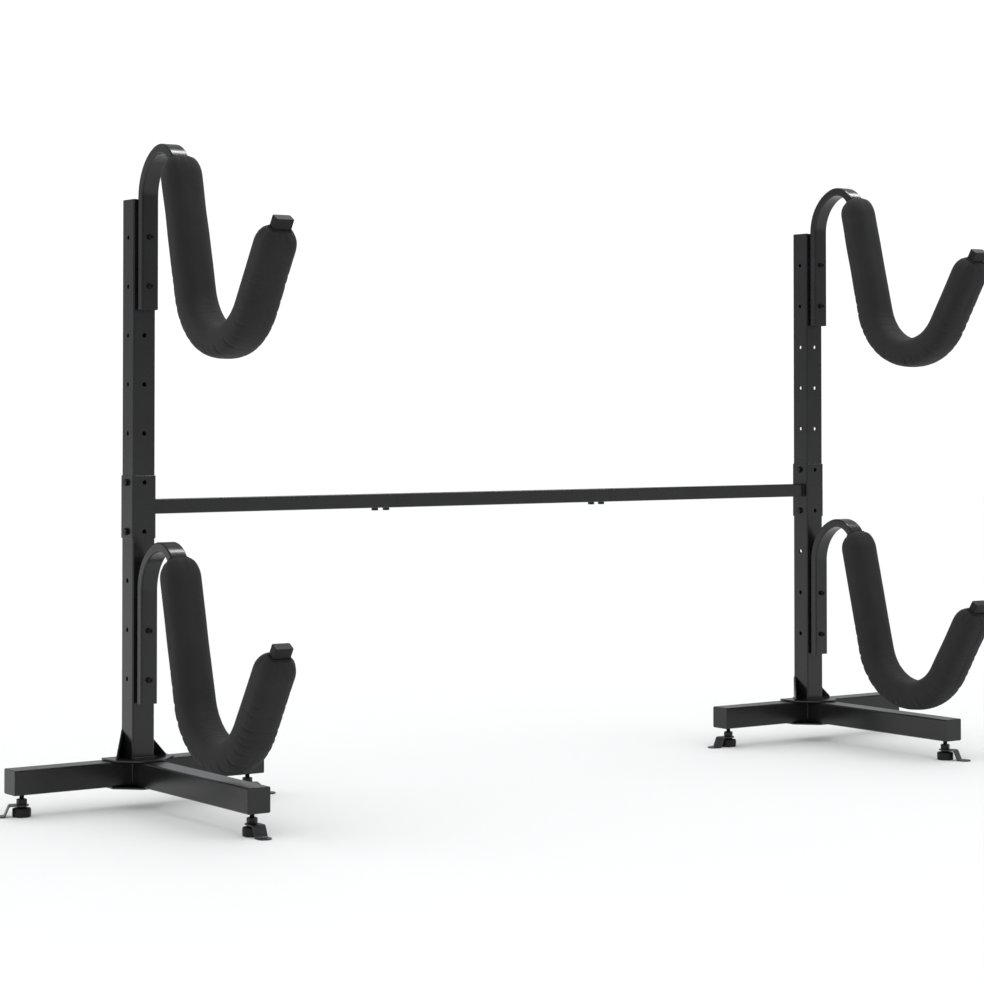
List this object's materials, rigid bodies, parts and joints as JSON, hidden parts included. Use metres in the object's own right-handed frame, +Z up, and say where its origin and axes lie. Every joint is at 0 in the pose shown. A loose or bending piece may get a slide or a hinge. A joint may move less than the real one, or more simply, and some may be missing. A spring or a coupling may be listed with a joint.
{
  "type": "kayak rack",
  "caption": "Freestanding rack: posts on three-legged feet joined by a low crossbar, each carrying an upper and a lower padded J hook that cradles a kayak or paddle board.",
  "frame": {"origin": "on the floor, midway between the posts and midway through the depth from the backmost bolts to the hook tips", "axes": "+X along the crossbar from the left post to the right post, -Y towards the side the hooks reach out to, +Z up"},
  "size_m": [2.4632, 0.6223, 1.3415],
  "materials": {
    "powder_coated_steel": "satin",
    "black_hardware": "satin",
    "pad_fabric": "matte",
    "cap_plastic": "satin",
    "foot_plastic": "satin",
    "strip_steel": "satin"
  },
  "bodies": {
    "frame": {"lower_post_left": "powder_coated_steel", "upper_post_left": "powder_coated_steel", "lower_post_right": "powder_coated_steel", "upper_post_right": "powder_coated_steel", "side_legs_left": "powder_coated_steel", "front_leg_left": "powder_coated_steel", "bottom_plate_left": "powder_coated_steel", "side_legs_right": "powder_coated_steel", "front_leg_right": "powder_coated_steel", "bottom_plate_right": "powder_coated_steel", "crossbar_left": "powder_coated_steel", "crossbar_middle": "powder_coated_steel", "crossbar_right": "powder_coated_steel", "crossbar_bolt_1": "black_hardware", "crossbar_bolt_2": "black_hardware", "crossbar_bolt_3": "black_hardware", "crossbar_bolt_4": "black_hardware", "sleeve_bolt_left_low": "black_hardware", "sleeve_bolt_left_high": "black_hardware", "sleeve_bolt_right_low": "black_hardware", "sleeve_bolt_right_high": "black_hardware", "hook_left_upper": "powder_coated_steel", "hook_cap_left_upper": "cap_plastic", "hook_pad_left_upper": "pad_fabric", "hook_bolt_left_upper_1": "black_hardware", "hook_bolt_left_upper_2": "black_hardware", "hook_left_lower": "powder_coated_steel", "hook_cap_left_lower": "cap_plastic", "hook_pad_left_lower": "pad_fabric", "hook_bolt_left_lower_1": "black_hardware", "hook_bolt_left_lower_2": "black_hardware", "hook_right_upper": "powder_coated_steel", "hook_cap_right_upper": "cap_plastic", "hook_pad_right_upper": "pad_fabric", "hook_bolt_right_upper_1": "black_hardware", "hook_bolt_right_upper_2": "black_hardware", "hook_right_lower": "powder_coated_steel", "hook_cap_right_lower": "cap_plastic", "hook_pad_right_lower": "pad_fabric", "hook_bolt_right_lower_1": "black_hardware", "hook_bolt_right_lower_2": "black_hardware"},
    "stud_left_outer": {"foot_stud_left_outer": "black_hardware"},
    "cup_left_outer": {"foot_cup_left_outer": "foot_plastic"},
    "strip_left_outer": {"floor_strip_left_outer": "strip_steel"},
    "stud_left_inner": {"foot_stud_left_inner": "black_hardware"},
    "cup_left_inner": {"foot_cup_left_inner": "foot_plastic"},
    "strip_left_inner": {"floor_strip_left_inner": "strip_steel"},
    "stud_left_front": {"foot_stud_left_front": "black_hardware"},
    "cup_left_front": {"foot_cup_left_front": "foot_plastic"},
    "strip_left_front": {"floor_strip_left_front": "strip_steel"},
    "stud_right_outer": {"foot_stud_right_outer": "black_hardware"},
    "cup_right_outer": {"foot_cup_right_outer": "foot_plastic"},
    "strip_right_outer": {"floor_strip_right_outer": "strip_steel"},
    "stud_right_inner": {"foot_stud_right_inner": "black_hardware"},
    "cup_right_inner": {"foot_cup_right_inner": "foot_plastic"},
    "strip_right_inner": {"floor_strip_right_inner": "strip_steel"},
    "stud_right_front": {"foot_stud_right_front": "black_hardware"},
    "cup_right_front": {"foot_cup_right_front": "foot_plastic"},
    "strip_right_front": {"floor_strip_right_front": "strip_steel"}
  },
  "joints": [
    {"name": "level_left_outer", "type": "slide", "parent": "frame", "child": "stud_left_outer", "axis": [0, 0, 1], "range_m": [-0.018, 0.009]},
    {"name": "turn_cup_left_outer", "type": "hinge", "parent": "stud_left_outer", "child": "cup_left_outer", "pos_m": [-1.175, 0.2758, 0.012], "axis": [0, 0, 1], "continuous": true},
    {"name": "turn_strip_left_outer", "type": "hinge", "parent": "stud_left_outer", "child": "strip_left_outer", "pos_m": [-1.175, 0.2758, 0.0225], "axis": [0, 0, 1], "continuous": true},
    {"name": "level_left_inner", "type": "slide", "parent": "frame", "child": "stud_left_inner", "axis": [0, 0, 1], "range_m": [-0.018, 0.009]},
    {"name": "turn_cup_left_inner", "type": "hinge", "parent": "stud_left_inner", "child": "cup_left_inner", "pos_m": [-0.661, 0.2758, 0.012], "axis": [0, 0, 1], "continuous": true},
    {"name": "turn_strip_left_inner", "type": "hinge", "parent": "stud_left_inner", "child": "strip_left_inner", "pos_m": [-0.661, 0.2758, 0.0225], "axis": [0, 0, 1], "continuous": true},
    {"name": "level_left_front", "type": "slide", "parent": "frame", "child": "stud_left_front", "axis": [0, 0, 1], "range_m": [-0.018, 0.009]},
    {"name": "turn_cup_left_front", "type": "hinge", "parent": "stud_left_front", "child": "cup_left_front", "pos_m": [-0.918, -0.1897, 0.012], "axis": [0, 0, 1], "continuous": true},
    {"name": "turn_strip_left_front", "type": "hinge", "parent": "stud_left_front", "child": "strip_left_front", "pos_m": [-0.918, -0.1897, 0.0225], "axis": [0, 0, 1], "continuous": true},
    {"name": "level_right_outer", "type": "slide", "parent": "frame", "child": "stud_right_outer", "axis": [0, 0, 1], "range_m": [-0.018, 0.009]},
    {"name": "turn_cup_right_outer", "type": "hinge", "parent": "stud_right_outer", "child": "cup_right_outer", "pos_m": [1.175, 0.2758, 0.012], "axis": [0, 0, 1], "continuous": true},
    {"name": "turn_strip_right_outer", "type": "hinge", "parent": "stud_right_outer", "child": "strip_right_outer", "pos_m": [1.175, 0.2758, 0.0225], "axis": [0, 0, 1], "continuous": true},
    {"name": "level_right_inner", "type": "slide", "parent": "frame", "child": "stud_right_inner", "axis": [0, 0, 1], "range_m": [-0.018, 0.009]},
    {"name": "turn_cup_right_inner", "type": "hinge", "parent": "stud_right_inner", "child": "cup_right_inner", "pos_m": [0.661, 0.2758, 0.012], "axis": [0, 0, 1], "continuous": true},
    {"name": "turn_strip_right_inner", "type": "hinge", "parent": "stud_right_inner", "child": "strip_right_inner", "pos_m": [0.661, 0.2758, 0.0225], "axis": [0, 0, 1], "continuous": true},
    {"name": "level_right_front", "type": "slide", "parent": "frame", "child": "stud_right_front", "axis": [0, 0, 1], "range_m": [-0.018, 0.009]},
    {"name": "turn_cup_right_front", "type": "hinge", "parent": "stud_right_front", "child": "cup_right_front", "pos_m": [0.918, -0.1897, 0.012], "axis": [0, 0, 1], "continuous": true},
    {"name": "turn_strip_right_front", "type": "hinge", "parent": "stud_right_front", "child": "strip_right_front", "pos_m": [0.918, -0.1897, 0.0225], "axis": [0, 0, 1], "continuous": true}
  ]
}
